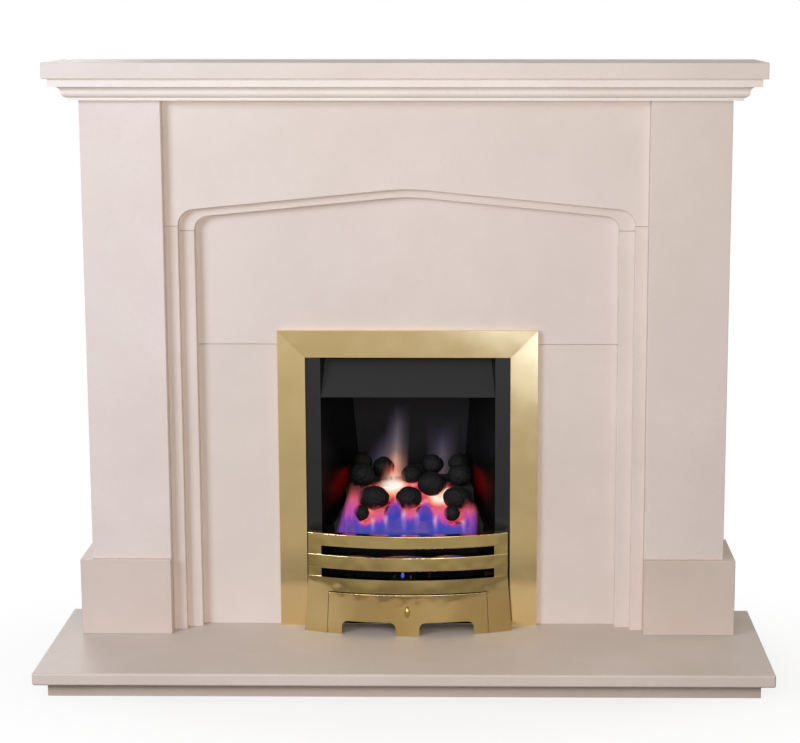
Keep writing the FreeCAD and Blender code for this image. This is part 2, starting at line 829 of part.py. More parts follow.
def pilot_bracket():
    span = (pilot_x - pilot_bracket_width / 2, pilot_x + pilot_bracket_width / 2)
    low = pilot_shelf_top - sheet
    back = block(span, (pan_front - sheet, pan_front), (low, low + pilot_bracket_height))
    shelf = block(span, (pan_front - sheet - pilot_shelf_depth, pan_front), (low, pilot_shelf_top))
    return back.fuse(shelf).removeSplitter()


def standing(radius, height, x, lift=0):
    """A round post on the pilot shelf."""
    return Part.makeCylinder(radius, height, Vector(x, pilot_y, pilot_shelf_top + lift))


nodes["pilot_bracket"] = pilot_bracket()
pilot_hood = standing(pilot_hood_radius, pilot_hood_height, pilot_x, pilot_height - pilot_hood_height)
nodes["pilot_burner"] = standing(pilot_radius, pilot_height, pilot_x).fuse(pilot_hood).removeSplitter()
nodes["thermocouple"] = standing(thermocouple_radius, thermocouple_height, pilot_x - probe_spacing)
nodes["spark_electrode"] = standing(insulator_radius, insulator_height, pilot_x + probe_spacing).fuse(
    standing(electrode_radius, electrode_height, pilot_x + probe_spacing)).removeSplitter()

# Gas valve
spindle_tip = valve_front - neck_length - (spindle_length - spindle_seat - neck_length)
valve_span = (valve_x - valve_width / 2, valve_x + valve_width / 2)


def on_spindle(y):
    """A point of the spindle's axis."""
    return Vector(valve_x, y, spindle_height)


def valve_bracket():
    """A folded stand: foot on the firebox base, upright and shelf under the valve."""
    rear = valve_front + valve_depth
    shelf = block(valve_span, (valve_front, rear), (valve_bottom - valve_bracket_sheet, valve_bottom))
    upright = block(valve_span, (rear - valve_bracket_sheet, rear), (base_top, valve_bottom))
    foot = block(valve_span, (valve_front, rear), (base_top, base_top + valve_bracket_sheet))
    return shelf.fuse([upright, foot]).removeSplitter()


def gas_valve():
    """A die-cast body with a neck round the spindle's blind bore."""
    body = block(valve_span, (valve_front, valve_front + valve_depth),
                 (valve_bottom, valve_bottom + valve_height))
    upright = [edge for edge in body.Edges if edge.BoundBox.ZLength > valve_height / 2]
    body = body.makeFillet(valve_edge_radius, upright)
    neck = rod(neck_radius, on_spindle(valve_front - neck_length),
               on_spindle(valve_front + valve_edge_radius))
    bore = rod(spindle_radius + running_fit, on_spindle(valve_front - neck_length - overrun),
               on_spindle(valve_front + spindle_seat + end_play))
    return body.fuse(neck).cut(bore).removeSplitter()


def control_knob():
    """A tapered disc with a grip bar, bored blind from behind for the spindle."""
    back = spindle_tip + knob_bore_depth - knob_travel - knob_stop_gap
    front = back - knob_depth
    toward = Vector(0, -1, 0)
    disc = Part.makeCone(knob_radius, knob_radius - knob_taper, knob_depth, on_spindle(back), toward)
    reach = knob_radius - 2 * knob_taper
    bar = block((valve_x - knob_grip_width / 2, valve_x + knob_grip_width / 2),
                (front - knob_grip_depth, front), (spindle_height - reach, spindle_height + reach))
    bore = rod(spindle_radius + running_fit, on_spindle(back + overrun), on_spindle(back - knob_bore_depth))
    return disc.fuse(bar).cut(bore).removeSplitter()


nodes["valve_bracket"] = valve_bracket()
nodes["gas_valve"] = gas_valve()
nodes["valve_spindle"] = rod(
    spindle_radius, on_spindle(spindle_tip), on_spindle(valve_front + spindle_seat))
nodes["control_knob"] = control_knob()


# Gas pipes
def bent_pipe(points, bend, radius):
    """A round pipe through points, each corner rounded to one bend radius."""
    edges, start = [], points[0]
    for before, corner, after in zip(points, points[1:], points[2:]):
        arrive = (corner - before).normalize()
        leave = (after - corner).normalize()
        first, last = corner - arrive * bend, corner + leave * bend
        inward = (leave - arrive).normalize()
        middle = corner + inward * bend * (math.sqrt(2) - 1)
        edges += [Part.makeLine(start, first), Part.Arc(first, middle, last).toShape()]
        start = last
    edges.append(Part.makeLine(start, points[-1]))
    ring = Part.Wire(Part.makeCircle(radius, points[0], points[1] - points[0]))
    return Part.Wire(edges).makePipeShell([ring], True, False)


elbow_right = firebox_inner_half - elbow_wall_gap
elbow_x = elbow_right - elbow_nut_length - elbow_size / 2
elbow_front = elbow_y - elbow_size / 2 - elbow_nut_length


def hex_nut(start, direction):
    """A six-sided compression nut on a port."""
    side = Vector(0, 0, 1)
    across = direction.cross(side)
    corners = []
    for index in range(6):
        angle = index * math.pi / 3
        corners.append(start + (side * math.cos(angle) + across * math.sin(angle)) * elbow_nut_radius)
    return sheet_of(corners).extrude(direction * elbow_nut_length)


def inlet_elbow():
    """A cast elbow on a foot, with a nut on each port and the socket for the incoming pipe."""
    half = elbow_size / 2
    body = block((elbow_x - half, elbow_x + half), (elbow_y - half, elbow_y + half),
                 (base_top, spindle_height + half))
    out, toward = Vector(1, 0, 0), Vector(0, -1, 0)
    centre = Vector(elbow_x, elbow_y, spindle_height)
    body = body.fuse([hex_nut(centre + out * half, out), hex_nut(centre + toward * half, toward)])
    mouth = Vector(elbow_right, elbow_y, spindle_height)
    socket = rod(gas_pipe_radius, mouth + out * overrun, mouth - out * elbow_bore_depth)
    return body.cut(socket).removeSplitter()


line_y = valve_front + supply_line_setback
burner_port = Vector(mixer_x, valve_front + burner_port_setback, valve_bottom + valve_height)
pilot_port = Vector(valve_span[0], line_y, valve_bottom + pilot_port_height)
nodes["inlet_elbow"] = inlet_elbow()
nodes["supply_pipe"] = bent_pipe(
    [Vector(elbow_x, elbow_front, spindle_height), Vector(elbow_x, line_y, spindle_height),
     Vector(valve_span[1], line_y, spindle_height)], gas_pipe_bend, gas_pipe_radius)
nodes["burner_pipe"] = rod(
    gas_pipe_radius, burner_port, Vector(burner_port.x, burner_port.y, mixer_z - injector_size / 2))
nodes["pilot_pipe"] = bent_pipe(
    [Vector(pilot_x, pilot_y, pilot_shelf_top - sheet), Vector(pilot_x, pilot_y, pilot_port.z),
     Vector(pilot_x, line_y, pilot_port.z), pilot_port], pilot_pipe_bend, pilot_pipe_radius)

# Fret
fret_base_half = fret_half + fret_flare
bow_radius = (fret_base_half ** 2 + fret_bow ** 2) / (2 * fret_bow)
bow_centre_y = fret_end_front - fret_bow + bow_radius
fret_front = fret_end_front - fret_bow


def behind_bow(depth, half):
    """Where an arc set behind the fret's face lies: y in the middle and y at both ends."""
    radius = bow_radius - depth
    return bow_centre_y - radius, bow_centre_y - math.sqrt(radius ** 2 - half ** 2)


def curved_plate(front, back, half, z):
    """A plate between two arcs, each given by its y in the middle and at both ends."""
    def arc(middle, ends):
        return [Vector(-half, ends, z[0]), Vector(0, middle, z[0]), Vector(half, ends, z[0])]

    front, back = arc(*front), arc(*back)
    edges = [Part.Arc(*front).toShape(), Part.makeLine(front[2], back[2]),
             Part.Arc(*back).toShape(), Part.makeLine(back[0], front[0])]
    return Part.Face(Part.Wire(Part.__sortEdges__(edges))).extrude(Vector(0, 0, z[1] - z[0]))


def bowed_plate(depth_front, depth_back, half, z):
    """A plate bent to the bow of the fret, between two depths behind its face."""
    return curved_plate(behind_bow(depth_front, half), behind_bow(depth_back, half), half, z)


def flared(half, flare, height, gap=0):
    """A trapezoid on the hearth, wider at its foot, drawn through the depth of the fret."""
    foot = half + flare + gap
    outline = [(-foot, fret_foot), (foot, fret_foot),
               (half + gap, fret_foot + height + gap), (-half - gap, fret_foot + height + gap)]
    return along_y(outline, (fret_front - overrun, trim_front))


apron_top = fret_foot + apron_height
middle_bar_low = apron_top + slot_height
middle_bar_top = middle_bar_low + middle_bar_height
top_bar_low = middle_bar_top + slot_height
fret_top = top_bar_low + top_bar_height


def fret_bar(low, high):
    """A bar of angle section: a bowed face with a lip folded back along its top."""
    face = bowed_plate(0, fret_plate, fret_half, (low, high))
    lip = bowed_plate(0, bar_lip_depth, fret_half, (high - bar_lip_thickness, high))
    bar = face.fuse(lip).removeSplitter()
    outer = [edge for edge in bar.Edges if edge.BoundBox.XLength > fret_half
             and edge.BoundBox.YMin < fret_front + fret_plate / 2]
    return bar.makeFillet(fret_edge_radius, outer)


def fret_web():
    """The plate behind the bars, bowed less than they are, so that the slots run out at both ends."""
    middle, ends = fret_front + slot_recess, behind_bow(web_end_setback, fret_half)[1]
    web = curved_plate((middle, ends), (middle + web_plate, ends + web_plate), fret_half,
                       (apron_top - bar_lip_thickness, fret_top - bar_lip_thickness))
    slot_half = fret_half - slot_end_margin
    for low in (apron_top, middle_bar_top):
        web = web.cut(block((-slot_half, slot_half), (fret_front - overrun, trim_front),
                            (low, low + slot_height)))
    return web


def fret():
    """Apron and two bars on the web that carries them, with side returns to stand on."""
    apron = bowed_plate(0, fret_plate, fret_base_half, (fret_foot, apron_top))
    apron = apron.common(flared(fret_half, fret_flare, apron_height))
    lip = bowed_plate(0, bar_lip_depth, fret_half, (apron_top - bar_lip_thickness, apron_top))
    ends = fret_end_front + fret_plate / 2
    side = block((fret_half - return_plate, fret_half), (ends, trim_front - return_gap),
                 (fret_foot, fret_top))
    solid = apron.fuse([lip, fret_web(), fret_bar(middle_bar_low, middle_bar_top),
                        fret_bar(top_bar_low, fret_top), side, mirrored(side)])
    bay_height = cover_height + cover_head_gap - cover_gap
    return solid.cut(flared(cover_width / 2, cover_flare, bay_height, cover_gap)).removeSplitter()


def ashpan_cover():
    plate = bowed_plate(0, fret_plate, cover_width / 2 + cover_flare, (fret_foot, fret_foot + cover_height))
    plate = plate.common(flared(cover_width / 2, cover_flare, cover_height))
    rim = [edge for edge in plate.Edges if edge.BoundBox.ZMin > fret_foot + cover_height - cover_gap
           and edge.BoundBox.XLength > cover_width / 2 and edge.BoundBox.YMin < fret_front + fret_plate / 2]
    plate = plate.makeFillet(cover_edge_radius, rim)
    outer = cover_width / 2 + cover_flare - cover_foot_width
    arch = block((cover_centre_foot_width / 2, outer), (fret_front - overrun, trim_front),
                 (fret_foot - cover_arch_height, fret_foot + cover_arch_height))
    corners = [edge for edge in arch.Edges if edge.BoundBox.YLength > cover_arch_height
               and edge.BoundBox.ZMin > fret_foot]
    arch = arch.makeFillet(cover_arch_radius, corners)
    return plate.cut([arch, mirrored(arch)])


def ashpan_knob():
    """An upright oval knob on a neck, with a collar on the cover's face."""
    seat = Vector(0, fret_front, fret_foot + cover_knob_height)
    toward = Vector(0, -1, 0)
    neck_end = seat + toward * (cover_knob_collar_depth + cover_knob_neck_length)
    collar = rod(cover_knob_collar_radius, seat, seat + toward * cover_knob_collar_depth)
    neck = rod(cover_knob_neck_radius, seat, neck_end)
    oval = pebble(Vector(), cover_knob_half_height, cover_knob_radius, 90)
    oval.rotate(Vector(), up, 180)
    oval.translate(neck_end)
    return collar.fuse([neck, oval]).removeSplitter()


nodes["fret"] = fret()
nodes["ashpan_cover"] = ashpan_cover()
nodes["ashpan_knob"] = ashpan_knob()

os.makedirs("parts", exist_ok=True)
for name, shape in nodes.items():
    shape.exportStep("parts/" + name + ".step")
    print(name, len(shape.Solids), shape.isValid(), round(shape.Volume))
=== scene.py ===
import math
import bmesh
import bpy
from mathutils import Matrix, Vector, noise


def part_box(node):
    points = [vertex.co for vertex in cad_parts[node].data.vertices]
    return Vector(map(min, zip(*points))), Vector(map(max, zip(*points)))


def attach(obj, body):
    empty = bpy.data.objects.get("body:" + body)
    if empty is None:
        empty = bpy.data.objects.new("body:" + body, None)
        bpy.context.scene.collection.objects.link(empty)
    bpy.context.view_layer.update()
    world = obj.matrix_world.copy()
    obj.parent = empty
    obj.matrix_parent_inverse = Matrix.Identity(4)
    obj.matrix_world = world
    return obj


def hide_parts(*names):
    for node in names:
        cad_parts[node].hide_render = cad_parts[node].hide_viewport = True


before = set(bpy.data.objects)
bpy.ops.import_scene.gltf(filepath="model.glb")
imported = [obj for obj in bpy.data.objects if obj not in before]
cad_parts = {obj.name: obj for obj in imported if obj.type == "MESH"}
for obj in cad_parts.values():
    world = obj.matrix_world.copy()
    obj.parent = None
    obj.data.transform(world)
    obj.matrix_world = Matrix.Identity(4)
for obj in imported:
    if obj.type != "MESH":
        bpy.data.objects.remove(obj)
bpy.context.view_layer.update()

# Hearth: a slab of pale limestone with pencil-rounded edges, bedded over set-back risers of the
# same stone. It is sawn, honed smooth and sealed against soot, so it mirrors a little of the
# brass that stands on it.


def linear(hex_colour, alpha=1.0):
    """An sRGB hex colour as linear red, green, blue and alpha."""
    channels = [int(hex_colour[i:i + 2], 16) / 255 for i in (1, 3, 5)]
    return [c / 12.92 if c <= 0.04045 else ((c + 0.055) / 1.055) ** 2.4 for c in channels] + [alpha]


def per_mm(size):
    """The scale of a pattern whose features are this many millimetres across."""
    return 1000.0 / size


def add(tree, kind, inputs=None, stops=None, **settings):
    """Adds a shader node with its settings, its input values or links, and a ramp's stops."""
    made = tree.nodes.new("ShaderNode" + kind)
    for name, value in settings.items():
        setattr(made, name, value)
    for name, value in (inputs or {}).items():
        if isinstance(value, bpy.types.NodeSocket):
            tree.links.new(value, made.inputs[name])
        else:
            made.inputs[name].default_value = value
    for index, (place, colour) in enumerate(stops or []):
        stop = made.color_ramp.elements[index] if index < 2 else made.color_ramp.elements.new(place)
        stop.position = place
        stop.color = linear(colour) if isinstance(colour, str) else (colour, colour, colour, 1.0)
    return made


def new_material(name, **sockets):
    """A material with one Principled shader, its plain sockets set, and its object coordinates."""
    material = bpy.data.materials.new(name)
    material.use_nodes = True
    tree = material.node_tree
    shader = tree.nodes["Principled BSDF"]
    for socket, value in sockets.items():
        shader.inputs[socket.replace("_", " ")].default_value = value
    return material, tree, shader, add(tree, "TexCoord")


def coat(material, *nodes):
    """Gives CAD nodes one material."""
    for name in nodes:
        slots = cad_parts[name].data.materials
        slots.clear()
        slots.append(material)


def limestone(name, pale, deep, fleck, roughness, place, gloss=0.5, seal=None):
    """Fine shelly limestone, sawn and honed: soft clouds, faint flecks and a close matt grain."""
    material, tree, shader, coords = new_material(name, IOR=1.5, Specular_IOR_Level=gloss)
    block = add(tree, "Mapping", {"Vector": coords.outputs["Object"], "Location": place}).outputs[0]
    clouds = add(tree, "TexNoise", {"Vector": block, "Scale": per_mm(210), "Detail": 6, "Roughness": 0.62})
    body = add(tree, "ValToRGB", {"Fac": clouds.outputs["Fac"]}, stops=[(0.32, deep), (0.68, pale)])
    shells = add(tree, "TexNoise", {"Vector": block, "Scale": per_mm(9), "Detail": 3, "Roughness": 0.7})
    flecks = add(tree, "ValToRGB", {"Fac": shells.outputs["Fac"]}, stops=[(0.56, 0.0), (0.76, 0.3)])
    mixed = add(tree, "Mix", {0: flecks.outputs["Color"], 6: body.outputs["Color"], 7: linear(fleck)},
                data_type="RGBA")
    if seal:
        # painted shade: the faces that look up are multiplied darker by this colour, and the edges stay pale
        facing = add(tree, "SeparateXYZ", {"Vector": add(tree, "NewGeometry").outputs["Normal"]})
        top_shade_mask = add(tree, "MapRange", {"Value": facing.outputs["Z"], "From Min": 0.3, "From Max": 0.8})
        mixed = add(tree, "Mix", {0: top_shade_mask.outputs["Result"], 6: mixed.outputs[2], 7: linear(seal)},
                    data_type="RGBA", blend_type="MULTIPLY")
    tree.links.new(mixed.outputs[2], shader.inputs["Base Color"])
    # the true grain is near half a millimetre, drawn at two so that it shows
    grain = add(tree, "TexNoise", {"Vector": block, "Scale": per_mm(2.2), "Detail": 2})
    rough = add(tree, "MapRange", {"Value": grain.outputs["Fac"], "From Min": 0.3, "From Max": 0.7,
                                   "To Min": roughness - 0.06, "To Max": roughness + 0.06})
    tree.links.new(rough.outputs["Result"], shader.inputs["Roughness"])
    bump = add(tree, "Bump", {"Height": grain.outputs["Fac"], "Strength": 0.12, "Distance": 0.0004})
    tree.links.new(bump.outputs["Normal"], shader.inputs["Normal"])
    return material


# painted shade: the colour given after the gloss darkens the hearth slab's top
coat(limestone("sealed_limestone_top_shade", "#e5d9d1", "#ddd0c6", "#cfc0b6", 0.5, (0.3, 0.1, 0.7), 0.25, "#ececec"),
     "hearth_slab")
coat(limestone("honed_limestone_riser", "#d5c7bd", "#cdbeb3", "#c0b2a8", 0.55, (0.9, 0.4, 0.2)),
     "hearth_riser_front", "hearth_riser_returns")

# Backing slab: cast concrete under the hearth, never seen in use. Its sawn-board face is dull
# grey with darker damp patches and pin holes.


def cast_concrete():
    material, tree, shader, coords = new_material("cast_concrete", Roughness=0.9, IOR=1.5)
    patches = add(tree, "TexNoise", {"Vector": coords.outputs["Object"], "Scale": per_mm(60), "Detail": 8})
    tone = add(tree, "ValToRGB", {"Fac": patches.outputs["Fac"]}, stops=[(0.3, "#8b8983"), (0.7, "#a9a7a0")])
    tree.links.new(tone.outputs["Color"], shader.inputs["Base Color"])
    return material


coat(cast_concrete(), "hearth_backing")

# Legs: pilasters on plinth blocks, each glued up from three slabs and left open to the wall.
# The stone is honed matt, and every slab is cut from another part of the block. The plinth blocks are darker, painted
# shade towards the floor.
leg_tones = {
    # painted shade: the plinths' stone is darker than the pilasters' and stands in for the light falling off at the
    # foot
    "plinth_block_left": ("#dbcdc4", "#d4c5bb", (1.3, 0.2, 0.0)),
    "plinth_block_right": ("#d9cbc1", "#d1c2b6", (2.1, 0.4, 0.3)),
    "pilaster_left": ("#e8ddd8", "#e1d5cf", (3.7, 0.9, 0.6)),
    "pilaster_right": ("#e6dbd5", "#dfd3cc", (4.4, 0.5, 0.9)),
}
for piece, (pale, deep, place) in leg_tones.items():
    coat(limestone("honed_limestone_" + piece, pale, deep, "#d6c8bf", 0.55, place), piece)

# Frieze, arch liner and slips: two stepped layers of thin slab between the legs, profiled along
# the shallow pointed arch. The joints with the slips show as hairlines at the springing.
arch_tones = {
    "frieze": ("#e7dcd6", "#e0d5ce", (5.2, 1.1, 0.2), ["frieze_panel"]),
    "liner": ("#e6dbd4", "#dfd3cb", (6.3, 0.3, 0.8), ["arch_liner"]),
    "outer_slips": ("#e5d9d2", "#ded1c9", (7.7, 0.6, 0.1), ["outer_slip_left", "outer_slip_right"]),
    "inner_slips": ("#e6dad3", "#ded2ca", (8.8, 0.8, 0.5), ["inner_slip_left", "inner_slip_right"]),
}
for layer, (pale, deep, place, pieces) in arch_tones.items():
    coat(limestone("honed_limestone_" + layer, pale, deep, "#d6c8bf", 0.55, place), *pieces)

# Back panel: a head over two legs round the opening for the fire, in the same stone, a step
# behind the arch liner.
panel_tones = {
    "back_panel_head": ("#e6dad5", "#dfd3cd", (9.4, 0.2, 0.4)),
    "back_panel_leg_left": ("#e3d8d1", "#dbd0c9", (10.1, 0.7, 0.9)),
    "back_panel_leg_right": ("#e5d9d2", "#dcd0c8", (11.6, 0.5, 0.6)),
}
for piece, (pale, deep, place) in panel_tones.items():
    coat(limestone("honed_limestone_" + piece, pale, deep, "#d7cac2", 0.55, place), piece)

# Mantel: a moulded bed of fillet, ogee and fillet under a plain shelf slab, both with mitred
# returns, bedded on the pilasters and the frieze.
# painted light: the mould's stone is paler than the rest and stands in for light on the ogee under the shelf
coat(limestone("honed_limestone_mould_painted_light", "#f5eee9", "#f0e7e1", "#d6c8bf", 0.55, (12.3, 0.4, 0.1)), "bed_mould")
coat(limestone("honed_limestone_shelf", "#e8ded8", "#e1d6cf", "#d7cac1", 0.52, (13.9, 0.6, 0.3)), "mantel_shelf")

# Sheet steel: wall brackets, firebox panels, flue collar, mixing tube and valve stand are made of
# zinc-coated sheet. The zinc sets in a spangle of flat grey crystals, and the faces that look into
# the firebox are black with soot.


def zinc_sheet():
    material, tree, shader, coords = new_material("zinc_coated_steel")
    spangle = add(tree, "TexVoronoi", {"Vector": coords.outputs["Object"], "Scale": per_mm(11)})
    tone = add(tree, "ValToRGB", {"Fac": spangle.outputs["Color"]}, stops=[(0.1, "#8f9496"), (0.9, "#b4b8ba")])
    rough = add(tree, "MapRange", {"Value": spangle.outputs["Color"], "To Min": 0.32, "To Max": 0.5})
    tree.links.new(rough.outputs["Result"], shader.inputs["Roughness"])
    # clean metal on every face that looks away from the middle of the firebox
    firebox_middle = (0.0, 0.03, 0.33)
    face = add(tree, "NewGeometry")
    from_fire = add(tree, "VectorMath", {0: face.outputs["Position"], 1: firebox_middle}, operation="SUBTRACT")
    outward = add(tree, "VectorMath", {0: from_fire.outputs[0], 1: face.outputs["Normal"]}, operation="DOT_PRODUCT")
    clean = add(tree, "Math", {0: outward.outputs["Value"], 1: 0.0}, operation="GREATER_THAN")
    skin = add(tree, "Mix", {0: clean.outputs[0], 6: linear("#0b0b0b"), 7: tone.outputs["Color"]}, data_type="RGBA")
    tree.links.new(skin.outputs[2], shader.inputs["Base Color"])
    tree.links.new(clean.outputs[0], shader.inputs["Metallic"])
    return material


coat(zinc_sheet(), "wall_brackets", "firebox_left_panel", "firebox_right_panel", "firebox_rear_panel",
     "firebox_base", "firebox_top", "flue_collar", "mixing_tube", "valve_bracket")

# Fascia seal: a flat strip of glass-fibre rope felt, clamped between the fascia and the stone.


def fibre_felt():
    material, tree, shader, coords = new_material("glass_fibre_felt", Roughness=0.95)
    strands = add(tree, "TexNoise", {"Vector": coords.outputs["Object"], "Scale": per_mm(2.5), "Detail": 4})
    tone = add(tree, "ValToRGB", {"Fac": strands.outputs["Fac"]}, stops=[(0.3, "#b9b5aa"), (0.7, "#dad7ce")])
    tree.links.new(tone.outputs["Color"], shader.inputs["Base Color"])
    return material


coat(fibre_felt(), "fascia_seal")

# Black sheet metal: fascia, hood, fireback, splayed cheeks, burner deck, pan and its stands,
# sprayed with a heat-proof satin black that dries to a faint orange peel and dulls with soot.


def stove_black(name, deep, pale, roughness, shine):
    material, tree, shader, coords = new_material(name, IOR=1.5, Specular_IOR_Level=shine)
    soot = add(tree, "TexNoise", {"Vector": coords.outputs["Object"], "Scale": per_mm(70), "Detail": 5})
    tone = add(tree, "ValToRGB", {"Fac": soot.outputs["Fac"]}, stops=[(0.3, deep), (0.7, pale)])
    tree.links.new(tone.outputs["Color"], shader.inputs["Base Color"])
    rough = add(tree, "MapRange", {"Value": soot.outputs["Fac"], "To Min": roughness - 0.08,
                                   "To Max": roughness + 0.08})
    tree.links.new(rough.outputs["Result"], shader.inputs["Roughness"])
    peel = add(tree, "TexNoise", {"Vector": coords.outputs["Object"], "Scale": per_mm(2.5), "Detail": 1})
    bump = add(tree, "Bump", {"Height": peel.outputs["Fac"], "Strength": 0.15, "Distance": 0.0003})
    tree.links.new(bump.outputs["Normal"], shader.inputs["Normal"])
    return material


coat(stove_black("stove_black_paint", "#121213", "#171719", 0.46, 0.3), "fascia")
coat(stove_black("stove_black_hood", "#121213", "#171719", 0.55, 0.22), "hood")
coat(stove_black("sooted_stove_black", "#1a1a1d", "#212126", 0.7, 0.25), "fireback")
coat(stove_black("stove_black_enamel", "#080808", "#0d0d0e", 0.3, 0.5), "cheek_left", "cheek_right")
coat(stove_black("stove_black_burner", "#060606", "#0b0b0b", 0.7, 0.15), "fuel_deck", "burner_pan",
     "pan_legs", "pilot_bracket")

# Fuel bed: a stepped block of vacuum-formed ceramic fibre that the burner heats to a red glow,
# with dimples that hold the coals.


def hot_ceramic():
    material, tree, shader, coords = new_material("hot_ceramic_fibre", Roughness=0.95)
    place = coords.outputs["Object"]
    lumps = add(tree, "TexNoise", {"Vector": place, "Scale": per_mm(14), "Detail": 4, "Roughness": 0.6})
    tone = add(tree, "ValToRGB", {"Fac": lumps.outputs["Fac"]}, stops=[(0.3, "#060404"), (0.7, "#0e0908")])
    tree.links.new(tone.outputs["Color"], shader.inputs["Base Color"])
    spots = add(tree, "TexNoise", {"Vector": place, "Scale": per_mm(22), "Detail": 4, "Roughness": 0.6})
    glow = add(tree, "ValToRGB", {"Fac": spots.outputs["Fac"]},
               stops=[(0.32, "#40080e"), (0.43, "#b02c3c"), (0.54, "#dc5464"), (0.70, "#f49088")])
    # white heat at two places between the coals, where the flames from several ports meet
    heat = glow.outputs["Color"]
    for middle, radius in (((-0.036, 0.010, 0.322), 0.044), ((0.061, -0.008, 0.296), 0.034)):
        core = add(tree, "Mapping", {"Vector": place, "Location": middle, "Scale": (radius, radius, radius)},
                   vector_type="TEXTURE")
        near = add(tree, "TexGradient", {"Vector": core.outputs[0]}, gradient_type="SPHERICAL")
        heart = add(tree, "ValToRGB", {"Fac": near.outputs["Fac"]}, stops=[(0.05, 0.0), (0.35, 1.0)])
        white = add(tree, "ValToRGB", {"Fac": near.outputs["Fac"]},
                    stops=[(0.1, "#ff6048"), (0.35, "#ffb08c"), (0.55, "#fff6ec")])
        heat = add(tree, "Mix", {0: heart.outputs["Color"], 6: heat, 7: white.outputs["Color"]},
                   data_type="RGBA").outputs[2]
    height = add(tree, "SeparateXYZ", {"Vector": place})
    foot = add(tree, "MapRange", {"Value": height.outputs["Z"], "From Min": 0.239, "From Max": 0.246,
                                  "To Min": 1.0, "To Max": 0.0})
    heat = add(tree, "Mix", {0: foot.outputs["Result"], 6: heat, 7: linear("#ff8a50")}, data_type="RGBA").outputs[2]
    # away from the ports the fibre stays dark, and its ends keep a dull red that the cheeks mirror
    ports = add(tree, "Mapping", {"Vector": place, "Location": (0.0, -0.07, 0.26),
                                  "Scale": (0.136, 0.125, 0.5)}, vector_type="TEXTURE")
    reach = add(tree, "TexGradient", {"Vector": ports.outputs[0]}, gradient_type="SPHERICAL")
    ragged = add(tree, "Math", {0: spots.outputs["Fac"], 1: 0.3, 2: reach.outputs["Fac"]}, operation="MULTIPLY_ADD")
    lit = add(tree, "ValToRGB", {"Fac": ragged.outputs[0]}, stops=[(0.22, 0.0), (0.42, 1.0)])
    across = add(tree, "SeparateXYZ", {"Vector": coords.outputs["Normal"]})
    sideways = add(tree, "Math", {0: across.outputs["X"]}, operation="ABSOLUTE")
    end = add(tree, "Math", {0: sideways.outputs[0], 1: 0.8}, operation="GREATER_THAN")
    dull = add(tree, "MapRange", {"Value": height.outputs["Z"], "From Min": 0.265, "From Max": 0.315, "To Max": 0.9})
    colour = add(tree, "Mix", {0: end.outputs[0], 6: heat, 7: linear("#c01408")}, data_type="RGBA")
    power = add(tree, "Mix", {0: end.outputs[0], 2: lit.outputs["Color"], 3: dull.outputs["Result"]})
    tree.links.new(colour.outputs[2], shader.inputs["Emission Color"])
    tree.links.new(power.outputs[0], shader.inputs["Emission Strength"])
    bump = add(tree, "Bump", {"Height": lumps.outputs["Fac"], "Strength": 0.6, "Distance": 0.003})
    tree.links.new(bump.outputs["Normal"], shader.inputs["Normal"])
    return material


coat(hot_ceramic(), "fuel_matrix")

# Coals: loose lumps pressed from ceramic fibre and dyed black, rounded like river cobbles, with
# a dull pitted skin. They lie in the dimples of the bed, four rows deep.


def coal_skin():
    material, tree, shader, coords = new_material("dyed_ceramic_coal", IOR=1.45, Specular_IOR_Level=0.3)
    place = coords.outputs["Object"]
    cloud = add(tree, "TexNoise", {"Vector": place, "Scale": per_mm(12), "Detail": 6, "Roughness": 0.65})
    tone = add(tree, "ValToRGB", {"Fac": cloud.outputs["Fac"]}, stops=[(0.3, "#050606"), (0.75, "#0f1010")])
    tree.links.new(tone.outputs["Color"], shader.inputs["Base Color"])
    rough = add(tree, "MapRange", {"Value": cloud.outputs["Fac"], "To Min": 0.6, "To Max": 0.85})
    tree.links.new(rough.outputs["Result"], shader.inputs["Roughness"])
    pits = add(tree, "TexNoise", {"Vector": place, "Scale": per_mm(3.2), "Detail": 4, "Roughness": 0.6})
    bump = add(tree, "Bump", {"Height": pits.outputs["Fac"], "Strength": 0.8, "Distance": 0.0016})
    tree.links.new(bump.outputs["Normal"], shader.inputs["Normal"])
    # where the flames lick round a coal it glows, in ragged patches
    heat = add(tree, "Attribute", attribute_name="heat").outputs["Fac"]
    ragged = add(tree, "Math", {0: cloud.outputs["Fac"], 1: 0.4, 2: heat}, operation="MULTIPLY_ADD")
    glow = add(tree, "ValToRGB", {"Fac": ragged.outputs[0]},
               stops=[(0.55, "#000000"), (0.72, "#8a1a30"), (0.86, "#ff6a84"), (0.98, "#ffc8cc")])
    tree.links.new(glow.outputs["Color"], shader.inputs["Emission Color"])
    shader.inputs["Emission Strength"].default_value = 1.0
    return material


def new_piece(name, shape, material, body="fireplace"):
    """Turns a bmesh into a named, smooth piece that rides on a body."""
    mesh = bpy.data.meshes.new(name)
    shape.to_mesh(mesh)
    shape.free()
    for face in mesh.polygons:
        face.use_smooth = True
    mesh.materials.append(material)
    piece = bpy.data.objects.new(name, mesh)
    bpy.context.scene.collection.objects.link(piece)
    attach(piece, body)
    return piece


def lumps_of(node):
    """The lowest and highest corner of each separate lump of a CAD node."""
    shape = bmesh.new()
    shape.from_mesh(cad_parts[node].data)
    bmesh.ops.remove_doubles(shape, verts=shape.verts, dist=1e-6)
    waiting = set(shape.verts)
    while waiting:
        start = min(waiting, key=lambda v: v.index)
        edge_of_lump, lump = [start], {start}
        while edge_of_lump:
            for edge in edge_of_lump.pop().link_edges:
                for vertex in edge.verts:
                    if vertex not in lump:
                        lump.add(vertex)
                        edge_of_lump.append(vertex)
        waiting -= lump
        points = [v.co for v in lump]
        yield [Vector([pick(p[axis] for p in points) for axis in range(3)]) for pick in (min, max)]
    shape.free()


